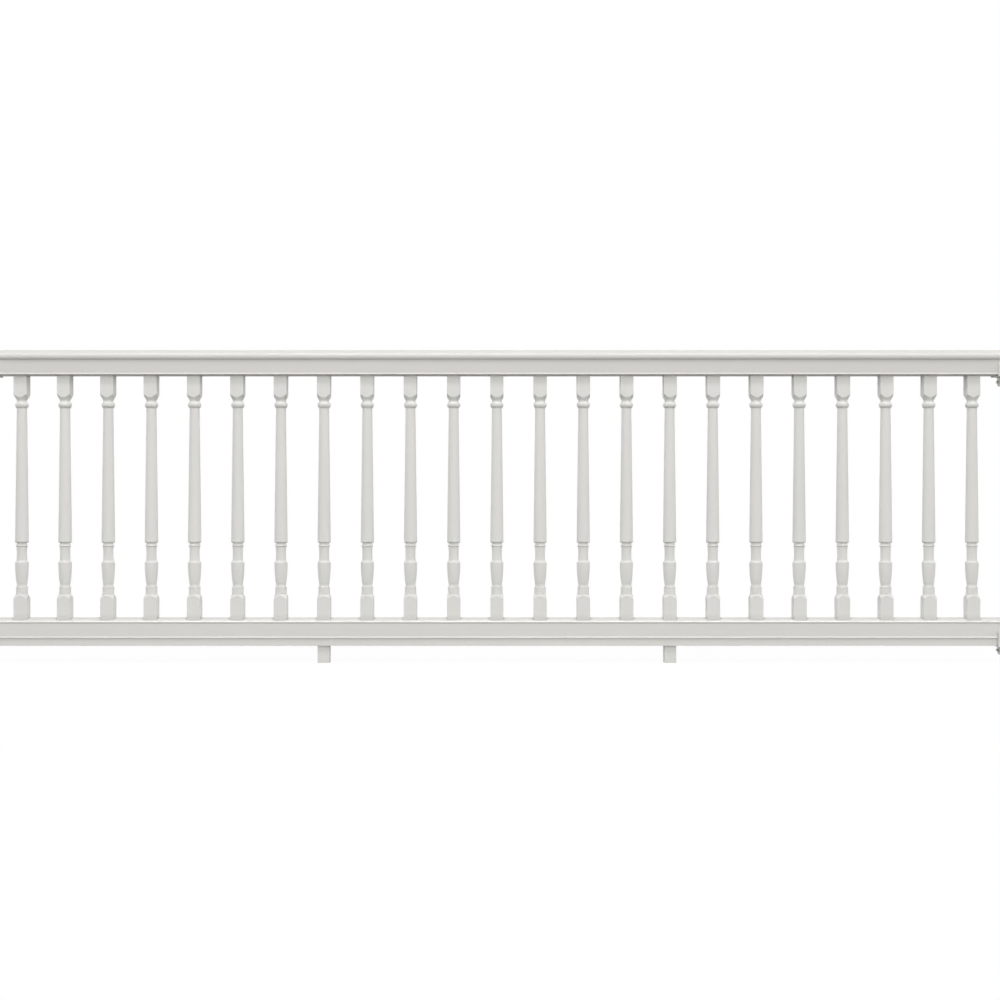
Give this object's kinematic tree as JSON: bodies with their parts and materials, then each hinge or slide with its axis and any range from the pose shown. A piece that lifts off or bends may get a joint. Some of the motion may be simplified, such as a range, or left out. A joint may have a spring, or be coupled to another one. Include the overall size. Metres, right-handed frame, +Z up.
{
  "type": "white railing bay with turned balusters",
  "caption": "Straight railing bay: moulded handrail and bottom rail, turned balusters with square ends, support blocks under the rail and screw-on brackets at the posts.",
  "frame": {"origin": "centre of the lower left bracket's flange, on the face that lies on the post", "axes": "+X along the rails from the left post to the right one, -Y to the front, +Z up"},
  "size_m": [2.961, 0.076, 0.9144],
  "materials": {
    "rail_white": "semi-gloss white powder coat",
    "baluster_white": "semi-gloss white powder coat",
    "base_white": "satin white powder coat",
    "block_white": "satin white powder coat",
    "bracket_white": "satin white powder coat"
  },
  "bodies": {
    "root": {"handrail_cap": "rail_white", "top_sub_rail": "rail_white", "bottom_rail": "rail_white", "bottom_rail_base": "base_white", "baluster_01": "baluster_white", "baluster_02": "baluster_white", "baluster_03": "baluster_white", "baluster_04": "baluster_white", "baluster_05": "baluster_white", "baluster_06": "baluster_white", "baluster_07": "baluster_white", "baluster_08": "baluster_white", "baluster_09": "baluster_white", "baluster_10": "baluster_white", "baluster_11": "baluster_white", "baluster_12": "baluster_white", "baluster_13": "baluster_white", "baluster_14": "baluster_white", "baluster_15": "baluster_white", "baluster_16": "baluster_white", "baluster_17": "baluster_white", "baluster_18": "baluster_white", "baluster_19": "baluster_white", "baluster_20": "baluster_white", "baluster_21": "baluster_white", "baluster_22": "baluster_white", "baluster_23": "baluster_white", "support_block_left": "block_white", "support_block_right": "block_white", "top_bracket_left": "bracket_white", "top_bracket_right": "bracket_white", "bottom_bracket_left": "bracket_white", "bottom_bracket_right": "bracket_white"}
  },
  "joints": []
}
